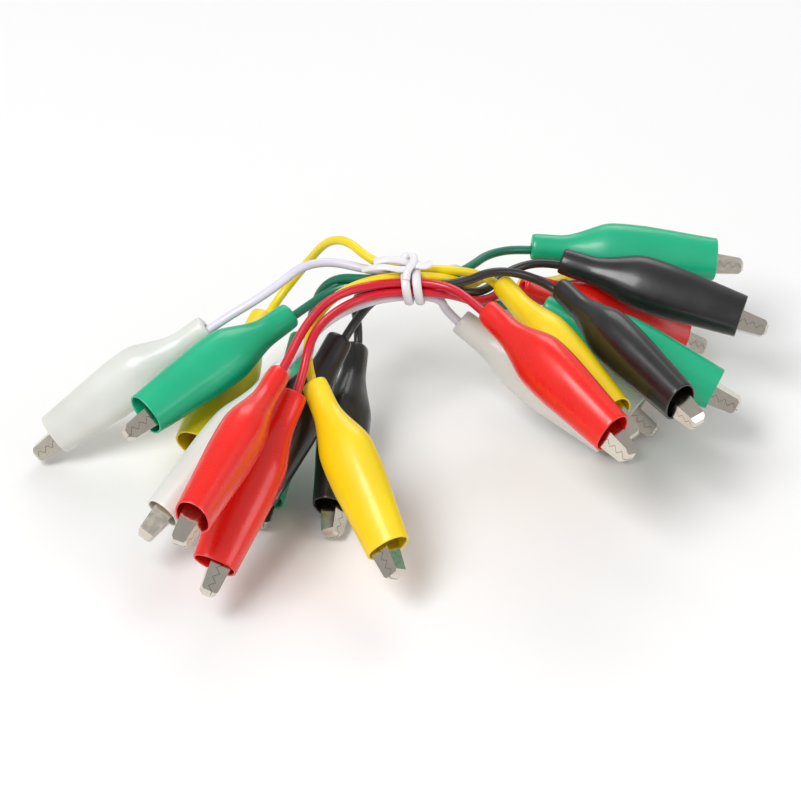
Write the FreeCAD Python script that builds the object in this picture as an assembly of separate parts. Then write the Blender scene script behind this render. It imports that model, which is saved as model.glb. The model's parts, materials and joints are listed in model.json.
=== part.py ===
"""Ten crocodile-clip test leads held at mid-length by one twist tie.

Each lead is a stranded, insulated wire with a sprung, toothed clip on each end.
Each clip is two stamped channels on one pivot rivet inside a soft sleeve.
Millimetres, +Z up, the bundle rests on z = 0 and is centred on the origin.
A clip has its own frame: x runs from the sleeve's neck to the jaw tips,
y is the hinge axis, +z is the side of the jaw that moves.
"""
import FreeCAD
import Part
import math
import os

V = FreeCAD.Vector

# ---- sleeve: neck, belly and mouth are one family of scaled sections ----
SLEEVE_LENGTH = 39.5
NECK_LENGTH = 7.2
NECK_HEIGHT = 5.8
BELLY_START = 16.0
BELLY_END = 24.6
BELLY_HEIGHT = 11.6
MOUTH_HEIGHT = 9.2
MOUTH_RISE = 0.8
SLEEVE_FLATNESS = 0.8
SLEEVE_WALL = 0.5
SLEEVE_SIDES = 16

# ---- clip metal ----
SHEET = 0.45
JAW_REACH = 6.0
PIVOT_BACK = 8.5
TAIL_LENGTH = 16.0
TAIL_HEIGHT = 4.3
FIXED_TAIL_LENGTH = 17.0
FIXED_TAIL_DEPTH = 3.6
FLANGE = 1.0
SHOULDER_HEIGHT = 2.65
TIP_HEIGHT = 1.7
NOSE_CUT = 0.9
TIP_WIDTH = 3.0
SHOULDER_WIDTH = 5.0
SHOULDER_AHEAD = 3.2
INNER_WIDTH = 4.0
EAR_RADIUS = 1.9
EAR_GAP = 0.15
TAIL_TAPER = 1.2
TOOTH_PITCH = 1.9
TOOTH_DEPTH = 1.1
TEETH = 5
BITE_GAP = 0.12

# ---- pivot and spring ----
RIVET_DIAMETER = 1.5
RIVET_FIT = 0.1
RIVET_HEAD_DIAMETER = 2.8
RIVET_HEAD = 0.35
SPRING_WIRE = 0.5
SPRING_FIT = 0.15
SPRING_LEG = 7.0
SPRING_SIDES = 6

# ---- wire and crimp ----
WIRE_DIAMETER = 1.85
WIRE_DROP = 0.6
WIRE_INTO_NECK = 6.5
CONDUCTOR_DIAMETER = 0.9
CONDUCTOR_LENGTH = 3.4
CRIMP_START = 5.0
CRIMP_LENGTH = 4.0
CRIMP_FIT = 0.08
STRAP_WIDTH = 1.6
ARC_SHARE = 0.45

# ---- twist tie ----
TIE_WIDTH = 1.7
TIE_THICKNESS = 1.0
TIE_PITCH = 2.3
TIE_CORNER = 1.6
BUNDLE_HEIGHT = 5.6
BUNDLE_DEPTH = 7.95
KNOT_DIAMETER = 2.6
KNOT_BACK = 1.5
TAIL_REACH = 9.0

# ---- leads: each wire's points from crimp to crimp, and each clip's roll about its own length ----
TIE_X = 2.5
TIE_Y = 18.5
TIE_Z = 35.0
LEADS = {
    "white_1": {
        "rolls": (30, -50),
        "route": [
            (-44.5, 11.0, 24.0), (-37.5, 13.0, 29.0), (-27.0, 16.5, 34.0), (-18.0, 25.5, 36.5),
            (-3.0, 21.45, 34.95), (9.0, 21.45, 35.15), (12.0, 33.0, 28.5), (16.5, 34.0, 19.0),
            (23.0, 29.5, 16.0),
        ],
    },
    "white_2": {
        "rolls": (-25, -30),
        "route": [
            (-27.5, -4.0, 24.5), (-22.5, 2.0, 27.5), (-15.0, 12.0, 31.0), (-4.0, 16.2, 33.25),
            (8.0, 16.5, 33.3), (9.5, 22.5, 24.0), (17.0, 18.5, 19.5),
        ],
    },
    "green_1": {
        "rolls": (80, -40),
        "route": [
            (-21.0, 16.5, 15.5), (-19.5, 24.5, 18.5), (-16.0, 26.5, 30.5), (-4.5, 19.15, 35.35),
            (9.0, 19.85, 34.8), (14.5, 28.5, 31.5), (18.5, 34.5, 30.5), (25.5, 39.5, 28.0),
            (34.0, 39.5, 27.0),
        ],
    },
    "green_2": {
        "rolls": (50, -25),
        "route": [
            (-27.0, 12.5, 26.5), (-21.0, 18.5, 27.5), (-12.5, 24.5, 30.0), (-3.0, 20.8, 33.35),
            (8.5, 20.45, 33.35), (17.0, 23.0, 25.5), (27.5, 22.0, 26.5), (35.0, 19.0, 24.0),
        ],
    },
    "yellow_1": {
        "rolls": (60, 20),
        "route": [
            (-30.5, 24.0, 16.0), (-28.0, 32.0, 17.0), (-22.0, 37.0, 23.0), (-13.5, 31.5, 39.0),
            (-4.0, 20.45, 36.75), (10.0, 20.95, 36.8), (19.5, 23.5, 32.5), (24.5, 16.5, 30.5),
        ],
    },
    "yellow_2": {
        "rolls": (-40, -15),
        "route": [
            (-15.5, -10.0, 24.5), (-18.5, -3.0, 27.5), (-19.0, 6.5, 32.0), (-13.5, 15.0, 35.0),
            (-4.0, 18.4, 36.85), (9.0, 18.65, 36.65), (14.5, 23.0, 30.5), (18.0, 31.0, 27.5),
            (23.5, 35.0, 20.0), (31.0, 37.5, 17.5),
        ],
    },
    "red_1": {
        "rolls": (-5, -20),
        "route": [
            (-26.5, -16.0, 33.0), (-23.0, -8.0, 34.5), (-19.5, 3.5, 35.5), (-14.0, 12.5, 36.5),
            (-4.0, 16.55, 36.65), (9.0, 16.55, 36.65), (16.0, 8.5, 36.5), (21.0, 2.0, 35.0),
        ],
    },
    "red_2": {
        "rolls": (65, -35),
        "route": [
            (-23.0, -14.5, 25.5), (-20.0, -7.5, 29.0), (-18.0, 1.5, 35.5), (-12.0, 11.5, 34.5),
            (-4.0, 15.5, 35.05), (9.5, 15.5, 34.9), (16.5, 19.0, 29.0), (23.5, 28.5, 27.0),
            (31.0, 29.5, 23.0),
        ],
    },
    "black_1": {
        "rolls": (55, -45),
        "route": [
            (-14.5, 6.5, 23.0), (-11.0, 14.0, 26.0), (-4.0, 18.55, 33.3), (9.0, 18.65, 33.35),
            (17.0, 21.0, 30.0), (22.5, 31.0, 29.0), (31.5, 33.5, 29.5), (39.5, 31.0, 28.0),
        ],
    },
    "black_2": {
        "rolls": (35, 5),
        "route": [
            (-9.5, 14.5, 14.0), (-8.5, 23.5, 17.0), (-10.0, 24.0, 26.5), (-6.0, 17.55, 34.95),
            (11.5, 17.55, 34.9), (20.0, 20.5, 37.5), (31.5, 22.0, 32.0), (36.5, 15.0, 31.0),
        ],
    },
}
TIP_X = SLEEVE_LENGTH + JAW_REACH
PIVOT_X = SLEEVE_LENGTH - PIVOT_BACK
SHOULDER_X = PIVOT_X + SHOULDER_AHEAD
OUTER_WIDTH = INNER_WIDTH + 2 * (SHEET + EAR_GAP)
FAR = 2 * BELLY_HEIGHT

os.makedirs("parts", exist_ok=True)


# ---- small helpers ----
def polygon(points):
    """A closed wire through points."""
    return Part.makePolygon([*points, points[0]])


def plate_xz(points):
    """An outline in x and z, thick enough across y to cover a whole clip."""
    face = Part.Face(polygon([V(x, -FAR, z) for x, z in points]))
    return face.extrude(V(0, 2 * FAR, 0))


def plate_xy(points):
    """An outline in x and y, tall enough in z to cover a whole clip."""
    face = Part.Face(polygon([V(x, y, -FAR) for x, y in points]))
    return face.extrude(V(0, 0, 2 * FAR))


def bar_y(radius, x, z, half_width):
    """A round bar along the hinge axis."""
    return Part.makeCylinder(radius, 2 * half_width, V(x, -half_width, z), V(0, 1, 0))


def bar_x(radius, start, length, z):
    """A round bar along the clip."""
    return Part.makeCylinder(radius, length, V(start, 0, z), V(1, 0, 0))


# ---- sleeve ----
def sleeve_ring(x, rise, height):
    """The corners of one many-sided section of the sleeve."""
    ring = []
    for side in range(SLEEVE_SIDES):
        turn = 2 * math.pi * (side + 0.5) / SLEEVE_SIDES
        y = SLEEVE_FLATNESS * height / 2 * math.cos(turn)
        ring.append(V(x, y, rise + height / 2 * math.sin(turn)))
    return ring


def sleeve_form(inset, overrun):
    """A closed solid through the sleeve's sections, inset by a wall."""
    stations = (
        (-overrun, 0, NECK_HEIGHT),
        (NECK_LENGTH, 0, NECK_HEIGHT),
        (BELLY_START, 0, BELLY_HEIGHT),
        (BELLY_END, 0, BELLY_HEIGHT),
        (SLEEVE_LENGTH + overrun, MOUTH_RISE, MOUTH_HEIGHT),
    )
    rings = [sleeve_ring(x, rise, height - 2 * inset) for x, rise, height in stations]
    faces = [Part.Face(polygon(rings[0])), Part.Face(polygon(rings[-1]))]
    for here, after in zip(rings, rings[1:]):
        for side in range(SLEEVE_SIDES):
            to = (side + 1) % SLEEVE_SIDES
            faces.append(Part.Face(polygon([here[side], here[to], after[to], after[side]])))
    solid = Part.Solid(Part.Shell(faces))
    if solid.Volume < 0:
        solid.reverse()
    return solid


def sleeve():
    """A soft open tube: slim neck, full belly over the tails, wide mouth."""
    return sleeve_form(0, 0).cut(sleeve_form(SLEEVE_WALL, 0.05))


# ---- jaws ----
def bite_line(offset, sign):
    """The zigzag where the two jaws meet, raised by offset; the other jaw's has the other sign."""
    end = TIP_X - SHEET
    start = end - TEETH * TOOTH_PITCH
    low = offset - sign * TOOTH_DEPTH / 2
    high = offset + sign * TOOTH_DEPTH / 2
    points = [(PIVOT_X, low), (start, low)]
    for tooth in range(TEETH):
        x = start + tooth * TOOTH_PITCH
        points += [(x + TOOTH_PITCH / 2, high), (x + TOOTH_PITCH, low)]
    return [*points, (TIP_X + 1, low)]


def back_line(tail_x, tail_z, inset):
    """A jaw's back from its tail to its nose, in x and z."""
    return [
        (tail_x, tail_z - inset),
        (PIVOT_X - PIVOT_BACK, tail_z - inset),
        (PIVOT_X + SHOULDER_AHEAD / 2, SHOULDER_HEIGHT - inset),
        (TIP_X - NOSE_CUT, TIP_HEIGHT - inset),
    ]


def plan(tail_x, width, inset):
    """A jaw seen from above: tapered tail, straight ears, shoulder and slim nose."""
    half = width / 2 - inset
    tip = TIP_WIDTH / 2 - inset
    end = TIP_X - inset
    cut = NOSE_CUT / 2
    side = [
        (tail_x, half - TAIL_TAPER),
        (tail_x + 2 * TAIL_TAPER, half),
        (PIVOT_X + EAR_RADIUS + EAR_GAP, half),
        (SHOULDER_X, SHOULDER_WIDTH / 2 - inset),
        (end - cut, tip),
        (end, tip - cut),
    ]
    return plate_xy(side + [(x, -y) for x, y in reversed(side)])


def channel(tail_length, tail_z, width, sign):
    """A stamped jaw with its back up: a tapering channel with ears, teeth and a closed nose."""
    tail_x = PIVOT_X - tail_length
    rim = [
        (TIP_X, TIP_HEIGHT - NOSE_CUT),
        (TIP_X, -TOOTH_DEPTH),
        (PIVOT_X, -TOOTH_DEPTH),
        (PIVOT_X - EAR_RADIUS, SHEET),
        (PIVOT_X - PIVOT_BACK, tail_z - SHEET - FLANGE),
        (tail_x, tail_z - SHEET - FLANGE),
    ]
    body = plate_xz(back_line(tail_x, tail_z, 0) + rim)
    body = body.fuse(bar_y(EAR_RADIUS, PIVOT_X, 0, FAR)).common(plan(tail_x, width, 0))
    under = back_line(tail_x - 1, tail_z, SHEET)
    nose = [(TIP_X - SHEET, TIP_HEIGHT - NOSE_CUT), (TIP_X - SHEET, -FAR), (tail_x - 1, -FAR)]
    hollow = plate_xz(under + nose).common(plan(tail_x - 1, width, SHEET))
    bite = bite_line(BITE_GAP / 2, sign)
    ahead = (PIVOT_X + EAR_RADIUS + EAR_GAP, bite[0][1])
    mouth = plate_xz([ahead, *bite[1:], (TIP_X + 1, -FAR), (ahead[0], -FAR)])
    hole = bar_y(RIVET_DIAMETER / 2 + RIVET_FIT, PIVOT_X, 0, FAR)
    return body.cut(hollow).cut(mouth).cut(hole)


def moving_jaw():
    """The inner jaw, which turns on the rivet."""
    return channel(TAIL_LENGTH, TAIL_HEIGHT, INNER_WIDTH, 1)


def crimp():
    """The rolled barrel that grips the wire, and the strap that carries it."""
    bore = WIRE_DIAMETER / 2 + CRIMP_FIT
    low = -WIRE_DROP - bore
    end = CRIMP_START + CRIMP_LENGTH
    tail_x = PIVOT_X - FIXED_TAIL_LENGTH
    barrel = bar_x(bore + SHEET, CRIMP_START, CRIMP_LENGTH, -WIRE_DROP)
    strap = plate_xz([
        (CRIMP_START, low),
        (end, low),
        (tail_x + SHEET, SHEET - FIXED_TAIL_DEPTH),
        (tail_x + SHEET, -FIXED_TAIL_DEPTH),
        (tail_x, -FIXED_TAIL_DEPTH),
        (end - SHEET, low - SHEET),
        (CRIMP_START, low - SHEET),
    ])
    sides = [(0, -STRAP_WIDTH / 2), (PIVOT_X, -STRAP_WIDTH / 2), (PIVOT_X, STRAP_WIDTH / 2)]
    strap = strap.common(plate_xy([*sides, (0, STRAP_WIDTH / 2)]))
    return barrel.fuse(strap).cut(bar_x(bore, 0, PIVOT_X / 2, -WIRE_DROP))


def fixed_jaw():
    """The outer jaw, back down: its tail runs into the crimp that holds the wire."""
    jaw = channel(FIXED_TAIL_LENGTH, FIXED_TAIL_DEPTH, OUTER_WIDTH, -1)
    jaw.rotate(V(0, 0, 0), V(1, 0, 0), 180)
    return jaw.fuse(crimp()).removeSplitter()


# ---- pivot and spring ----
def rivet():
    """The pivot: a shank through all four ears, headed on both sides."""
    half = OUTER_WIDTH / 2
    shank = bar_y(RIVET_DIAMETER / 2, PIVOT_X, 0, half)
    heads = bar_y(RIVET_HEAD_DIAMETER / 2, PIVOT_X, 0, half + RIVET_HEAD)
    gap = bar_y(RIVET_HEAD_DIAMETER, PIVOT_X, 0, half)
    return shank.fuse(heads.cut(gap))


def spring_leg(z, rise, half):
    """One straight leg from the coil along a tail, beside the middle."""
    reach = math.hypot(SPRING_LEG, rise)
    along = V(-SPRING_LEG, 0, rise) * (1 / reach)
    across = V(0, 1, 0)
    up = along.cross(across)
    start = V(PIVOT_X, half, z)
    ring = []
    for side in range(SPRING_SIDES):
        turn = 2 * math.pi * side / SPRING_SIDES
        ring.append(start + (across * math.cos(turn) + up * math.sin(turn)) * (SPRING_WIRE / 2))
    return Part.Face(polygon(ring)).extrude(along * reach)


def spring():
    """The close-wound torsion coil around the rivet and its two legs on the tails."""
    bore = RIVET_DIAMETER / 2 + SPRING_FIT
    half = INNER_WIDTH / 2 - SHEET - SPRING_FIT
    radius = bore + SPRING_WIRE / 2
    coil = bar_y(bore + SPRING_WIRE, PIVOT_X, 0, half)
    rise = TAIL_HEIGHT - SHEET - SPRING_WIRE - radius
    drop = FIXED_TAIL_DEPTH - SHEET - SPRING_WIRE - radius
    leg_y = half - SPRING_WIRE / 2
    legs = spring_leg(radius, rise, leg_y).fuse(spring_leg(-radius, -drop, -leg_y))
    return coil.fuse(legs).cut(bar_y(bore, PIVOT_X, 0, FAR))


def conductor():
    """The bare strands past the end of the insulation, in and beyond the crimp."""
    return bar_x(CONDUCTOR_DIAMETER / 2, WIRE_INTO_NECK, CONDUCTOR_LENGTH, -WIRE_DROP)


# ---- placing ----
def clip_frame(route, roll):
    """A clip's placement from the end of its wire: the wire's last run lies along the clip."""
    end, before = V(*route[0]), V(*route[1])
    along = (end - before).normalize()
    across = V(0, 0, 1).cross(along).normalize()
    up = along.cross(across)
    turn = math.radians(roll)
    hinge = across * math.cos(turn) + up * math.sin(turn)
    opening = along.cross(hinge)
    neck = end - along * WIRE_INTO_NECK + opening * WIRE_DROP
    return FreeCAD.Placement(FreeCAD.Matrix(
        along.x, hinge.x, opening.x, neck.x,
        along.y, hinge.y, opening.y, neck.y,
        along.z, hinge.z, opening.z, neck.z,
        0, 0, 0, 1))


def put(shape, frame):
    """A copy of a shape in a clip's frame."""
    placed = shape.copy()
    placed.Placement = frame.multiply(shape.Placement)
    return placed


def rounded_path(route):
    """Straight runs joined by tangent arcs, each as large as its two runs allow."""
    points = [V(*p) for p in route]
    edges = []
    radii = []
    start = points[0]
    for before, corner, after in zip(points, points[1:], points[2:]):
        back, ahead = before - corner, after - corner
        set_back = ARC_SHARE * min(back.Length, ahead.Length)
        back.normalize()
        ahead.normalize()
        half_turn = (math.pi - back.getAngle(ahead)) / 2
        radius = set_back / math.tan(half_turn)
        first, last = corner + back * set_back, corner + ahead * set_back
        inward = (back + ahead).normalize()
        middle = corner + inward * (radius / math.cos(half_turn) - radius)
        edges.append(Part.LineSegment(start, first).toShape())
        edges.append(Part.Arc(first, middle, last).toShape())
        radii.append(radius)
        start = last
    edges.append(Part.LineSegment(start, points[-1]).toShape())
    return Part.Wire(edges), radii


def wire_tube(name, route):
    """An insulated wire along its route, with its section swept square to the path."""
    path, radii = rounded_path(route)
    start = V(*route[0])
    along = (V(*route[1]) - start).normalize()
    section = Part.Wire(Part.makeCircle(WIRE_DIAMETER / 2, start, along))
    tube = Part.Wire(path).makePipeShell([section], True, False)
    expected = math.pi * WIRE_DIAMETER ** 2 / 4 * path.Length
    print(f"{name}: length {path.Length:.1f}, volume over expected {tube.Volume / expected:.4f},",
          "arc radii", [round(radius, 1) for radius in radii])
    return tube



# ---- twist tie ----
def tie_ring(x):
    """One flat turn of the tie: a rounded band round the whole bundle."""
    bands = []
    for grow in (TIE_THICKNESS, 0):
        deep = BUNDLE_DEPTH + 2 * grow
        tall = BUNDLE_HEIGHT + 2 * grow
        corner = V(TIE_X + x - TIE_WIDTH / 2, TIE_Y - deep / 2, TIE_Z - tall / 2)
        block = Part.makeBox(TIE_WIDTH, deep, tall, corner)
        along = [edge for edge in block.Edges if abs(edge.tangentAt(0).x) > 0.9]
        bands.append(block.makeFillet(TIE_CORNER + grow, along))
    return bands[0].cut(bands[1])


def tie_end(side):
    """A twisted loose end that lies along the top of the bundle, away from the knot."""
    radius = TIE_THICKNESS / 2
    top = TIE_Z + BUNDLE_HEIGHT / 2 + TIE_THICKNESS
    start = V(TIE_X, TIE_Y + KNOT_BACK, top + radius)
    end = V(TIE_X + side * TAIL_REACH, TIE_Y + KNOT_BACK + TAIL_REACH / 3, top + TAIL_REACH / 4)
    along = end - start
    return Part.makeCylinder(radius, along.Length, start, along)


def twist_tie():
    """Two turns side by side, the knot on top of them, and its two loose ends."""
    top = TIE_Z + BUNDLE_HEIGHT / 2 + TIE_THICKNESS
    knot = Part.makeSphere(KNOT_DIAMETER / 2, V(TIE_X, TIE_Y + KNOT_BACK, top))
    below = Part.makeBox(2 * FAR, 2 * FAR, FAR, V(TIE_X - FAR, TIE_Y - FAR, top - TIE_THICKNESS / 2 - FAR))
    knot = knot.cut(below)
    shape = tie_ring(-TIE_PITCH / 2).fuse([tie_ring(TIE_PITCH / 2), knot, tie_end(-1), tie_end(1)])
    return shape.removeSplitter()


# ---- the whole bundle ----
def export(node, solids):
    """One STEP file of a node's separate solids."""
    for number, solid in enumerate(solids):
        if len(solid.Solids) != 1 or not solid.isValid():
            raise ValueError(f"{node} solid {number}: {len(solid.Solids)} solids, valid {solid.isValid()}")
    Part.makeCompound([solid.Solids[0] for solid in solids]).exportStep(f"parts/{node}.step")


def clip_frames(lead):
    """The left and right clips' placements, from the two ends of a lead's wire."""
    route = lead["route"]
    left_roll, right_roll = lead["rolls"]
    return clip_frame(route, left_roll), clip_frame(route[::-1], right_roll)


def main():
    """Build every node and write it to parts/."""
    clip = {
        "sleeves": sleeve(),
        "fixed_jaws": fixed_jaw(),
        "jaw": moving_jaw(),
        "pivot_rivets": rivet(),
        "jaw_springs": spring(),
        "conductor_ends": conductor(),
    }
    shared = {"pivot_rivets": [], "jaw_springs": [], "conductor_ends": []}
    for name, lead in LEADS.items():
        export(f"{name}_wire", [wire_tube(name, lead["route"])])
        frames = clip_frames(lead)
        for piece in ("sleeves", "fixed_jaws"):
            export(f"{name}_{piece}", [put(clip[piece], frame) for frame in frames])
        for side, frame in zip(("left", "right"), frames):
            export(f"{name}_{side}_jaw", [put(clip["jaw"], frame)])
        for node, solids in shared.items():
            solids.extend(put(clip[node], frame) for frame in frames)
    for node, solids in shared.items():
        export(node, solids)
    export("twist_tie", [twist_tie()])


main()
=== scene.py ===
"""Ten crocodile-clip test leads, held at mid-length by a white twist tie, on a pale studio floor.

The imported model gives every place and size. This script adds the looks: smooth wires and soft
sleeves in five colours, the tie, nickel-plated jaws, the floor, the lights and the camera.
Shapes are drawn in millimetres and turned into metres when they become meshes.
"""
import json
import math

import bpy
from mathutils import Matrix, Vector, noise


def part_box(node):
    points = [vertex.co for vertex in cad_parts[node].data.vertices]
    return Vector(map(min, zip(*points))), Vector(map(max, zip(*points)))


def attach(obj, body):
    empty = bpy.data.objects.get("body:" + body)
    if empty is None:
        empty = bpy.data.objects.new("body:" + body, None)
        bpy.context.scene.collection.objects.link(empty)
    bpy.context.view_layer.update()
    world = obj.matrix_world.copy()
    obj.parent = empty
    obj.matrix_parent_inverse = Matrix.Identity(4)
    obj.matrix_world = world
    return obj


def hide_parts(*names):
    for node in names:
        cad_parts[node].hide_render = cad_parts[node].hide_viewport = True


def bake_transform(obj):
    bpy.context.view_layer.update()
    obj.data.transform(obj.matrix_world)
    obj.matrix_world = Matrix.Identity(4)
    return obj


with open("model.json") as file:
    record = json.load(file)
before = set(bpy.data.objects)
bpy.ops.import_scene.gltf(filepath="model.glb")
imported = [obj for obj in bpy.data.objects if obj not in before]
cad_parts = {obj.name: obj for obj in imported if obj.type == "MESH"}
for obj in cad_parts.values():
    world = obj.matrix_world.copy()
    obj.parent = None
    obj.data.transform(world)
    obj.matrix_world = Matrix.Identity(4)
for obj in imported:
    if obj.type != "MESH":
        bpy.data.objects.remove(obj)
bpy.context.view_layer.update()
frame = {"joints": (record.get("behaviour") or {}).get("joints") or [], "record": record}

MM = 0.001

# ---- camera: looks down on the tie from in front ----
VIEW_ELEVATION = 40.0
VIEW_DISTANCE = 0.600
VIEW_ANGLE = 15.58
PAN_RIGHT = -0.00256
PAN_UP = -0.02409

# ---- sleeve, in millimetres along the clip: x, top, bottom, half width, squareness ----
SLEEVE_SECTIONS = (
    (0.45, 2.85, 2.85, 2.3, 2.0),
    (3.6, 2.95, 2.9, 2.4, 2.0),
    (6.6, 3.0, 2.9, 2.4, 2.0),
    (8.6, 3.5, 3.05, 2.7, 2.05),
    (11.6, 4.75, 3.7, 3.45, 2.1),
    (15.0, 6.35, 4.65, 4.4, 2.2),
    (17.0, 6.75, 4.95, 4.65, 2.25),
    (20.5, 6.8, 4.95, 4.7, 2.25),
    (24.0, 6.7, 4.9, 4.65, 2.25),
    (26.5, 6.5, 4.65, 4.5, 2.25),
    (31.0, 6.2, 4.25, 4.2, 2.2),
    (36.0, 5.8, 3.85, 3.9, 2.2),
    (39.1, 5.6, 3.6, 3.75, 2.2),
)
SLEEVE_LENGTH = 39.5
SLEEVE_WALL = 0.5
SLEEVE_SIDES = 24
NECK_HOLE = 1.15
WIRE_DROP = 0.6
PIVOT_FROM_NECK = 31.0
CREASE_DEPTH = 0.10
CREASE_SCALE = 0.16

# ---- twist tie, in millimetres from the middle of the bundle ----
BAND_WIDTH = 1.9
BAND_THICKNESS = 1.0
BAND_SPACING = 2.3
BAND_SLANT = 0.5
BUNDLE_WIDTH = 7.95
BUNDLE_HEIGHT = 5.6
TIE_CENTRE_Y = 4.975
TIE_CENTRE_Z = 3.8
BAND_STEPS = 48
BAND_SQUARENESS = 0.72
RIBBON_SIDES = 12

# ---- jaw metal ----
EDGE_ROUND = 0.00010
EDGE_ANGLE = 35

# ---- smoothing of the sleeves and the tie ----
SKIN_LEVELS = 1

# ---- wires: points from crimp to crimp, in metres, and the wire's length ----
WIRE_DIAMETER = 0.00185
LEADS = {
    "white_1": (0.0898, (
        (-0.0445, 0.011, 0.024), (-0.0375, 0.013, 0.029), (-0.027, 0.0165, 0.034),
        (-0.018, 0.0255, 0.0365), (-0.003, 0.02145, 0.03495), (0.009, 0.02145, 0.03515),
        (0.012, 0.033, 0.0285), (0.0165, 0.034, 0.019), (0.023, 0.0295, 0.016),
    )),
    "white_2": (0.0627, (
        (-0.0275, -0.004, 0.0245), (-0.0225, 0.002, 0.0275), (-0.015, 0.012, 0.031),
        (-0.004, 0.0162, 0.03325), (0.008, 0.0165, 0.0333), (0.0095, 0.0225, 0.024),
        (0.017, 0.0185, 0.0195),
    )),
    "green_1": (0.0814, (
        (-0.021, 0.0165, 0.0155), (-0.0195, 0.0245, 0.0185), (-0.016, 0.0265, 0.0305),
        (-0.0045, 0.01915, 0.03535), (0.009, 0.01985, 0.0348), (0.0145, 0.0285, 0.0315),
        (0.0185, 0.0345, 0.0305), (0.0255, 0.0395, 0.028), (0.034, 0.0395, 0.027),
    )),
    "green_2": (0.0701, (
        (-0.027, 0.0125, 0.0265), (-0.021, 0.0185, 0.0275), (-0.0125, 0.0245, 0.03),
        (-0.003, 0.0208, 0.03335), (0.0085, 0.02045, 0.03335), (0.017, 0.023, 0.0255),
        (0.0275, 0.022, 0.0265), (0.035, 0.019, 0.024),
    )),
    "yellow_1": (0.0811, (
        (-0.0305, 0.024, 0.016), (-0.028, 0.032, 0.017), (-0.022, 0.037, 0.023),
        (-0.0135, 0.0315, 0.039), (-0.004, 0.02045, 0.03675), (0.01, 0.02095, 0.0368),
        (0.0195, 0.0235, 0.0325), (0.0245, 0.0165, 0.0305),
    )),
    "yellow_2": (0.0874, (
        (-0.0155, -0.01, 0.0245), (-0.0185, -0.003, 0.0275), (-0.019, 0.0065, 0.032),
        (-0.0135, 0.015, 0.035), (-0.004, 0.0184, 0.03685), (0.009, 0.01865, 0.03665),
        (0.0145, 0.023, 0.0305), (0.018, 0.031, 0.0275), (0.0235, 0.035, 0.02),
        (0.031, 0.0375, 0.0175),
    )),
    "red_1": (0.0732, (
        (-0.0265, -0.016, 0.033), (-0.023, -0.008, 0.0345), (-0.0195, 0.0035, 0.0355),
        (-0.014, 0.0125, 0.0365), (-0.004, 0.01655, 0.03665), (0.009, 0.01655, 0.03665),
        (0.016, 0.0085, 0.0365), (0.021, 0.002, 0.035),
    )),
    "red_2": (0.0821, (
        (-0.023, -0.0145, 0.0255), (-0.02, -0.0075, 0.029), (-0.018, 0.0015, 0.0355),
        (-0.012, 0.0115, 0.0345), (-0.004, 0.0155, 0.03505), (0.0095, 0.0155, 0.0349),
        (0.0165, 0.019, 0.029), (0.0235, 0.0285, 0.027), (0.031, 0.0295, 0.023),
    )),
    "black_1": (0.0690, (
        (-0.0145, 0.0065, 0.023), (-0.011, 0.014, 0.026), (-0.004, 0.01855, 0.0333),
        (0.009, 0.01865, 0.03335), (0.017, 0.021, 0.03), (0.0225, 0.031, 0.029),
        (0.0315, 0.0335, 0.0295), (0.0395, 0.031, 0.028),
    )),
    "black_2": (0.0747, (
        (-0.0095, 0.0145, 0.014), (-0.0085, 0.0235, 0.017), (-0.01, 0.024, 0.0265),
        (-0.006, 0.01755, 0.03495), (0.0115, 0.01755, 0.0349), (0.02, 0.0205, 0.0375),
        (0.0315, 0.022, 0.032), (0.0365, 0.015, 0.031),
    )),
}

SLEEVE_COLOURS = {
    "white": (0.69, 0.69, 0.65),
    "green": (0.0, 0.42, 0.21),
    "yellow": (0.86, 0.63, 0.0),
    "red": (0.80, 0.010, 0.004),
    "black": (0.012, 0.011, 0.012),
}
SLEEVE_RELIEF = {
    "white": 0.00008, "green": 0.00008, "yellow": 0.00009, "red": 0.00004, "black": 0.00005,
}
SLEEVE_ROUGHNESS = {"white": 0.42, "green": 0.40, "yellow": 0.45, "red": 0.30, "black": 0.34}
WIRE_COLOURS = {
    "white": (0.70, 0.68, 0.78),
    "green": (0.0, 0.16, 0.09),
    "yellow": (0.88, 0.68, 0.0),
    "red": (0.58, 0.0, 0.018),
    "black": (0.014, 0.013, 0.013),
}
TIE_COLOUR = (0.74, 0.73, 0.75)
NICKEL = (0.66, 0.61, 0.53)
COPPER = (0.80, 0.42, 0.22)
SPRING_STEEL = (0.55, 0.54, 0.52)


# ---- studio: each light's name, place, size and power ----
FLOOR_HALF = 3.0
LIGHTS = (
    ("key", (-0.35, -0.35, 0.75), 0.40, 5.4),
    ("fill", (0.7, -0.35, 0.45), 0.5, 1.6),
    ("back", (0.1, 0.7, 0.6), 0.5, 2.0),
)
SURROUND = 0.45


# ---- materials ----
def new_material(name):
    """A node material and its main shader."""
    material = bpy.data.materials.new(name)
    material.use_nodes = True
    return material, material.node_tree.nodes["Principled BSDF"]


def add_noise(material, scale, detail=3.0):
    """A noise pattern fixed to the object's own coordinates."""
    nodes = material.node_tree.nodes
    place = nodes.new("ShaderNodeTexCoord")
    pattern = nodes.new("ShaderNodeTexNoise")
    pattern.inputs["Scale"].default_value = scale
    pattern.inputs["Detail"].default_value = detail
    material.node_tree.links.new(place.outputs["Object"], pattern.inputs["Vector"])
    return pattern.outputs["Fac"]


def vary(material, shader, socket, scale, low, high):
    """Drives one number of the shader with noise between two values."""
    ramp = material.node_tree.nodes.new("ShaderNodeMapRange")
    ramp.inputs["From Min"].default_value = 0.3
    ramp.inputs["From Max"].default_value = 0.7
    ramp.inputs["To Min"].default_value = low
    ramp.inputs["To Max"].default_value = high
    material.node_tree.links.new(add_noise(material, scale), ramp.inputs["Value"])
    material.node_tree.links.new(ramp.outputs["Result"], shader.inputs[socket])


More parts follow.
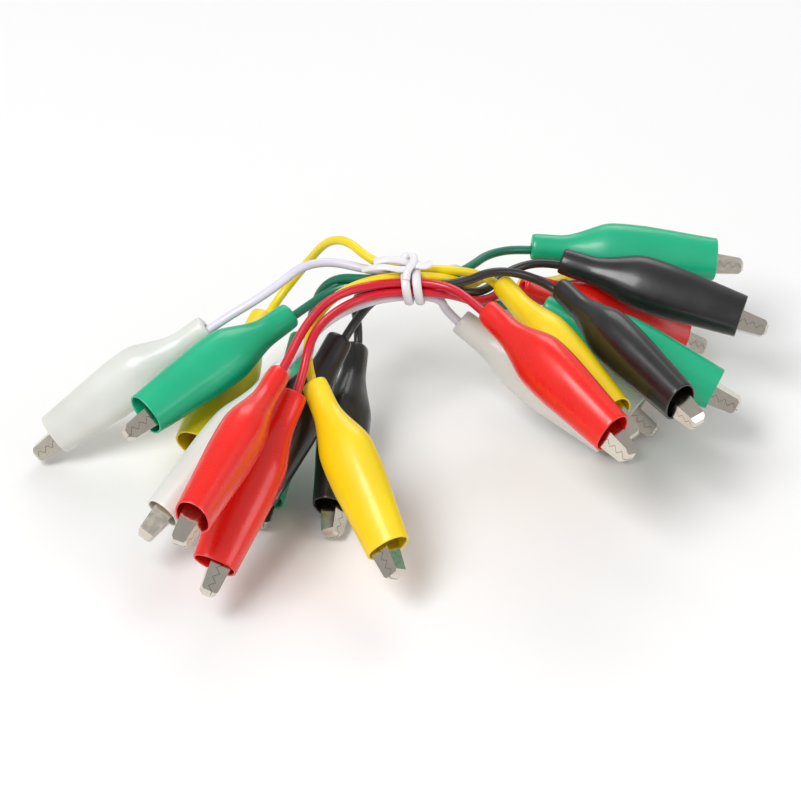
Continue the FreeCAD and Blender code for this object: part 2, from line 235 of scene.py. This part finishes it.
def vary_colour(material, shader, scale, colour, spread):
    """Drives the base colour between a darker and a lighter shade."""
    ramp = material.node_tree.nodes.new("ShaderNodeValToRGB")
    ramp.color_ramp.elements[0].position = 0.3
    ramp.color_ramp.elements[1].position = 0.7
    ramp.color_ramp.elements[0].color = (*[part * (1 - spread) for part in colour], 1)
    ramp.color_ramp.elements[1].color = (*[min(1, part * (1 + spread)) for part in colour], 1)
    material.node_tree.links.new(add_noise(material, scale, 2.0), ramp.inputs["Fac"])
    material.node_tree.links.new(ramp.outputs["Color"], shader.inputs["Base Color"])


def add_bump(material, shader, coarse, fine, depth):
    """Two scales of surface relief, of a depth in metres."""
    nodes, links = material.node_tree.nodes, material.node_tree.links
    first = nodes.new("ShaderNodeBump")
    first.inputs["Strength"].default_value = 0.5
    first.inputs["Distance"].default_value = depth
    second = nodes.new("ShaderNodeBump")
    second.inputs["Strength"].default_value = 0.35
    second.inputs["Distance"].default_value = depth / 4
    links.new(add_noise(material, coarse), first.inputs["Height"])
    links.new(add_noise(material, fine, 5.0), second.inputs["Height"])
    links.new(first.outputs["Normal"], second.inputs["Normal"])
    links.new(second.outputs["Normal"], shader.inputs["Normal"])


def vinyl(name, colour, roughness, scatter, relief):
    """Soft plastic: slightly uneven colour and gloss, faint moulding relief, some light in the wall."""
    material, shader = new_material(name)
    vary_colour(material, shader, 90.0, colour, 0.05)
    vary(material, shader, "Roughness", 260.0, roughness - 0.06, roughness + 0.08)
    shader.inputs["Subsurface Weight"].default_value = scatter
    shader.inputs["Subsurface Radius"].default_value = (0.0012, 0.0009, 0.0007)
    shader.inputs["Subsurface Scale"].default_value = 1.0
    shader.inputs["Coat Weight"].default_value = 0.35
    shader.inputs["Coat Roughness"].default_value = 0.16
    add_bump(material, shader, 330.0, 2600.0, relief)
    return material


def metal(name, colour, roughness):
    """Plated or drawn metal with fine handling marks."""
    material, shader = new_material(name)
    shader.inputs["Metallic"].default_value = 1.0
    vary_colour(material, shader, 400.0, colour, 0.03)
    vary(material, shader, "Roughness", 900.0, roughness, roughness + 0.07)
    add_bump(material, shader, 700.0, 5200.0, 0.000008)
    return material


def make_materials():
    """Every material by name."""
    kinds = {
        "nickel": metal("nickel", NICKEL, 0.12),
        "spring_steel": metal("spring_steel", SPRING_STEEL, 0.25),
        "copper": metal("copper", COPPER, 0.3),
        "tie": vinyl("tie", TIE_COLOUR, 0.45, 0.1, 0.00006),
    }
    for colour, shade in SLEEVE_COLOURS.items():
        scatter = 0.35 if colour == "white" else 0.1
        kinds[f"{colour}_sleeve"] = vinyl(
            f"{colour}_sleeve", shade, SLEEVE_ROUGHNESS[colour], scatter, SLEEVE_RELIEF[colour])
        kinds[f"{colour}_wire"] = vinyl(
            f"{colour}_wire", WIRE_COLOURS[colour], 0.36, 0.05, 0.00005)
    return kinds


# ---- camera ----
def tie_centre():
    """The middle of the bundle inside the tie."""
    low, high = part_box("twist_tie")
    return Vector(((low.x + high.x) / 2, low.y + TIE_CENTRE_Y * MM, low.z + TIE_CENTRE_Z * MM))


def add_camera():
    """A long lens from in front and above, a little left of and below the tie."""
    tilt = math.radians(VIEW_ELEVATION)
    ahead = Vector((0, math.cos(tilt), -math.sin(tilt)))
    up = Vector((0, math.sin(tilt), math.cos(tilt)))
    right = Vector((1, 0, 0))
    camera = bpy.data.objects.new("camera", bpy.data.cameras.new("camera"))
    camera.location = tie_centre() - ahead * VIEW_DISTANCE + right * PAN_RIGHT + up * PAN_UP
    camera.rotation_euler = (math.radians(90 - VIEW_ELEVATION), 0, 0)
    camera.data.angle = math.radians(VIEW_ANGLE)
    camera.data.clip_start = 0.01
    bpy.context.collection.objects.link(camera)
    bpy.context.scene.camera = camera


# ---- wires ----
def add_wire(lead, route, kinds):
    """One free wire, smooth through its points, from crimp to crimp."""
    data = bpy.data.curves.new(f"{lead}_cord", "CURVE")
    data.dimensions = "3D"
    spline = data.splines.new("NURBS")
    spline.points.add(len(route) - 1)
    for point, place in zip(spline.points, route):
        point.co = (*place, 1)
    spline.order_u = 3
    spline.use_endpoint_u = True
    data.resolution_u = 10
    data.bevel_depth = WIRE_DIAMETER / 2
    data.bevel_resolution = 5
    data.use_fill_caps = True
    data.materials.append(kinds[lead.split("_")[0] + "_wire"])
    wire = bpy.data.objects.new(f"{lead}_cord", data)
    bpy.context.collection.objects.link(wire)
    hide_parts(f"{lead}_wire")
    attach(wire, "root")


# ---- meshes ----
def add_mesh(name, rings, closed_along, material, place):
    """A skin over rings of points in millimetres, each joined to the next, placed in metres."""
    sides = len(rings[0])
    points = [place @ (point * MM) for ring in rings for point in ring]
    last = len(rings) if closed_along else len(rings) - 1
    faces = []
    for row in range(last):
        here = row * sides
        after = (row + 1) % len(rings) * sides
        for side in range(sides):
            to = (side + 1) % sides
            faces.append((here + side, here + to, after + to, after + side))
    if not closed_along:
        faces.append(tuple(reversed(range(sides))))
        faces.append(tuple(range((len(rings) - 1) * sides, len(rings) * sides)))
    mesh = bpy.data.meshes.new(name)
    mesh.from_pydata(points, [], faces)
    mesh.materials.append(material)
    for face in mesh.polygons:
        face.use_smooth = True
    piece = bpy.data.objects.new(name, mesh)
    bpy.context.collection.objects.link(piece)
    skin = piece.modifiers.new("smooth", "SUBSURF")
    skin.levels = SKIN_LEVELS
    skin.render_levels = SKIN_LEVELS
    return piece


# ---- sleeves ----
def section(x, top, bottom, half_width, squareness, inset):
    """One closed ring of the sleeve: a rounded section with its own top and bottom."""
    ring = []
    for side in range(SLEEVE_SIDES):
        turn = 2 * math.pi * side / SLEEVE_SIDES
        across, tall = math.cos(turn), math.sin(turn)
        power = 2 / squareness
        height = (top if tall > 0 else bottom) - inset
        y = math.copysign(abs(across) ** power, across) * (half_width - inset)
        z = math.copysign(abs(tall) ** power, tall) * height
        ring.append(Vector((x, y, z)))
    return ring


def hole(x, radius):
    """The ring where the wire comes through the neck."""
    ring = []
    for side in range(SLEEVE_SIDES):
        turn = 2 * math.pi * side / SLEEVE_SIDES
        ring.append(Vector((x, radius * math.cos(turn), radius * math.sin(turn) - WIRE_DROP)))
    return ring


def soft_creases(ring, seed):
    """Moves a ring's points a little in and out, so that no two sleeves are alike."""
    creased = []
    for point in ring:
        outward = Vector((0, point.y, point.z))
        grow = noise.noise(point * CREASE_SCALE + seed) * CREASE_DEPTH
        fade = min(1.0, max(0.0, (point.x - 6) / 6))
        creased.append(point + outward.normalized() * grow * fade)
    return creased


def sleeve_rings(seed):
    """The whole skin: out along the outside, round the mouth, and back inside to the wire's hole."""
    first, last = SLEEVE_SECTIONS[0], SLEEVE_SECTIONS[-1]
    outside = [section(*values, 0) for values in SLEEVE_SECTIONS]
    inside = [section(*values, SLEEVE_WALL) for values in reversed(SLEEVE_SECTIONS[1:])]
    mouth = [
        section(SLEEVE_LENGTH - 0.08, *last[1:], 0.01),
        section(SLEEVE_LENGTH, *last[1:], SLEEVE_WALL * 0.3),
        section(SLEEVE_LENGTH, *last[1:], SLEEVE_WALL * 0.7),
        section(SLEEVE_LENGTH - 0.08, *last[1:], SLEEVE_WALL),
    ]
    neck = [
        hole(1.6, NECK_HOLE),
        hole(0.3, NECK_HOLE),
        hole(0.05, NECK_HOLE * 1.15),
        section(0.0, *first[1:], 0.75),
        section(0.12, *first[1:], 0.2),
    ]
    rings = outside + mouth + inside + neck
    return [soft_creases(ring, seed) for ring in rings]


def add_sleeve(clip, place, kinds):
    """One soft sleeve, placed along its clip."""
    lead = clip.rsplit("_", 1)[0]
    colour = lead.split("_")[0]
    seed = Vector((len(clip) * 3.1, sum(map(ord, clip)) * 0.37, 5.0))
    rings = sleeve_rings(seed)
    sleeve = add_mesh(f"{clip}_sleeve", rings, True, kinds[f"{colour}_sleeve"], place)
    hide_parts(f"{lead}_sleeves")
    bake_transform(sleeve)


def clip_places():
    """Each clip's place: x along it from the neck, y on the hinge, z on the moving jaw's side."""
    along = {mount["name"]: Vector(mount["axis"]) for mount in frame["record"]["mounts"]}
    places = {}
    for joint in frame["joints"]:
        clip = joint["name"].removesuffix("_opening")
        x = along[f"{clip}_bite"].normalized()
        y = -Vector(joint["axis"]).normalized()
        z = x.cross(y)
        neck = Vector(joint["pos_m"]) - x * PIVOT_FROM_NECK * MM
        turn = Matrix((x, y, z)).transposed().to_4x4()
        places[clip] = Matrix.Translation(neck) @ turn
    return places


# ---- twist tie ----
def ribbon(path, width_axis, width=BAND_WIDTH, thickness=BAND_THICKNESS, closed=False):
    """Rings of a flat plastic ribbon with a rib over its core wire, along a path."""
    rings = []
    count = len(path)
    for step, point in enumerate(path):
        if closed:
            ahead = path[(step + 1) % count] - path[step - 1]
        else:
            ahead = path[min(step + 1, count - 1)] - path[max(step - 1, 0)]
        ahead.normalize()
        wide = (width_axis - ahead * width_axis.dot(ahead)).normalized()
        thick = ahead.cross(wide)
        ring = []
        for side in range(RIBBON_SIDES):
            turn = 2 * math.pi * side / RIBBON_SIDES
            across = math.cos(turn) * width / 2
            rib = 0.82 + 0.18 * abs(math.sin(turn)) ** 3
            ring.append(point + wide * across + thick * math.sin(turn) * thickness / 2 * rib)
        rings.append(ring)
    return rings


def band_path(middle):
    """Once round the bundle, close to its wires, leaning a little from top to bottom."""
    half_deep = (BUNDLE_WIDTH + BAND_THICKNESS) / 2
    half_tall = (BUNDLE_HEIGHT + BAND_THICKNESS) / 2
    path = []
    for step in range(BAND_STEPS):
        turn = 2 * math.pi * step / BAND_STEPS
        y = math.copysign(abs(math.cos(turn)) ** BAND_SQUARENESS, math.cos(turn)) * half_deep
        z = math.copysign(abs(math.sin(turn)) ** BAND_SQUARENESS, math.sin(turn)) * half_tall
        path.append(Vector((middle - BAND_SLANT * z / half_tall, y, z)))
    return path


def smooth_path(points, steps=8):
    """A curve through points, with soft turns between them."""
    path = []
    for index in range(len(points) - 1):
        before = points[max(index - 1, 0)]
        start, end = points[index], points[index + 1]
        after = points[min(index + 2, len(points) - 1)]
        for step in range(steps):
            t = step / steps
            path.append(0.5 * (2 * start + (end - before) * t
                               + (2 * before - 5 * start + 4 * end - after) * t ** 2
                               + (3 * start - before - 3 * end + after) * t ** 3))
    return path + [points[-1]]


def add_tie(kinds):
    """Two turns of the tie, its knot on top and its two loose ends."""
    top = BUNDLE_HEIGHT / 2 + BAND_THICKNESS
    wide_along = Vector((1, 0, 0))
    wide_back = Vector((0, 1, 0.3))
    parts = {
        "tie_turn_left": ribbon(band_path(-BAND_SPACING / 2), wide_along, closed=True),
        "tie_turn_right": ribbon(band_path(BAND_SPACING / 2), wide_along, closed=True),
        "tie_knot": ribbon(smooth_path([
            Vector((-1.4, -3.2, top - 0.6)), Vector((-1.1, -1.6, top + 0.5)),
            Vector((0.2, 0.6, top + 1.5)), Vector((-0.3, 2.2, top + 1.7)),
            Vector((-1.8, 2.0, top + 1.1)), Vector((-1.9, 0.4, top + 0.5)),
        ]), wide_along, 1.7),
        "tie_end_right": ribbon(smooth_path([
            Vector((-1.4, 0.6, top + 0.3)), Vector((0.6, 0.1, top + 0.8)),
            Vector((2.4, -0.2, top + 0.7)), Vector((3.9, 0.3, top + 1.2)),
        ]), wide_back, 1.8),
        "tie_end_left_front": ribbon(smooth_path([
            Vector((-0.8, -0.9, top + 0.4)), Vector((-3.0, -1.0, top + 0.5)),
            Vector((-5.6, -0.6, top + 0.7)), Vector((-8.2, 0.0, top + 0.1)),
            Vector((-10.4, 0.6, top - 0.9)),
        ]), wide_back, 1.6),
        "tie_end_left_back": ribbon(smooth_path([
            Vector((-0.8, 1.0, top + 0.6)), Vector((-3.2, 1.2, top + 1.2)),
            Vector((-5.8, 1.3, top + 1.2)), Vector((-8.0, 1.4, top + 0.5)),
        ]), wide_back, 1.8),
    }
    place = Matrix.Translation(tie_centre())
    for name, rings in parts.items():
        piece = add_mesh(name, rings, name.startswith("tie_turn"), kinds["tie"], place)
        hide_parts("twist_tie")
        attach(piece, "root")


# ---- metal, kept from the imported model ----
def dress(node, material, rounding):
    """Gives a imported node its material, and rounds its stamped edges."""
    part = bpy.data.objects[node]
    part.data.materials.clear()
    part.data.materials.append(material)
    if rounding:
        edge = part.modifiers.new("edges", "BEVEL")
        edge.width = rounding
        edge.segments = 2
        edge.limit_method = "ANGLE"
        edge.angle_limit = math.radians(EDGE_ANGLE)
        edge.use_clamp_overlap = True


def dress_metal(kinds):
    """Nickel on the jaws and rivets, steel on the springs, copper on the strands."""
    for lead in LEADS:
        for node in (f"{lead}_fixed_jaws", f"{lead}_left_jaw", f"{lead}_right_jaw"):
            dress(node, kinds["nickel"], EDGE_ROUND)
    dress("pivot_rivets", kinds["nickel"], EDGE_ROUND)
    dress("jaw_springs", kinds["spring_steel"], 0)
    dress("conductor_ends", kinds["copper"], 0)


# ---- studio ----
def add_floor():
    """A large pale floor under the bundle."""
    mesh = bpy.data.meshes.new("floor")
    half = FLOOR_HALF
    mesh.from_pydata([(-half, -half, 0), (half, -half, 0), (half, half, 0), (-half, half, 0)],
                     [], [(0, 1, 2, 3)])
    material, shader = new_material("floor")
    vary_colour(material, shader, 3.0, (0.86, 0.86, 0.86), 0.01)
    shader.inputs["Roughness"].default_value = 0.7
    mesh.materials.append(material)
    floor = bpy.data.objects.new("floor", mesh)
    bpy.context.collection.objects.link(floor)


def add_light(name, place, size, power):
    """A square soft light aimed at the bundle."""
    data = bpy.data.lights.new(name, "AREA")
    data.size = size
    data.energy = power
    light = bpy.data.objects.new(name, data)
    light.location = place
    aim = tie_centre() - Vector(place)
    light.rotation_euler = aim.to_track_quat("-Z", "Y").to_euler()
    bpy.context.collection.objects.link(light)


def add_studio():
    """Floor, soft lights and a bright surround."""
    add_floor()
    for light in LIGHTS:
        add_light(*light)
    world = bpy.data.worlds.new("studio")
    world.use_nodes = True
    world.node_tree.nodes["Background"].inputs["Color"].default_value = (1, 1, 1, 1)
    world.node_tree.nodes["Background"].inputs["Strength"].default_value = SURROUND
    bpy.context.scene.world = world
    bpy.context.scene.view_settings.view_transform = "Standard"


def main():
    """Camera and wires first, then sleeves, tie, metal and studio."""
    kinds = make_materials()
    add_camera()
    for lead, (length, route) in LEADS.items():
        add_wire(lead, route, kinds)
    for clip, place in clip_places().items():
        add_sleeve(clip, place, kinds)
    add_tie(kinds)
    dress_metal(kinds)
    add_studio()


main()
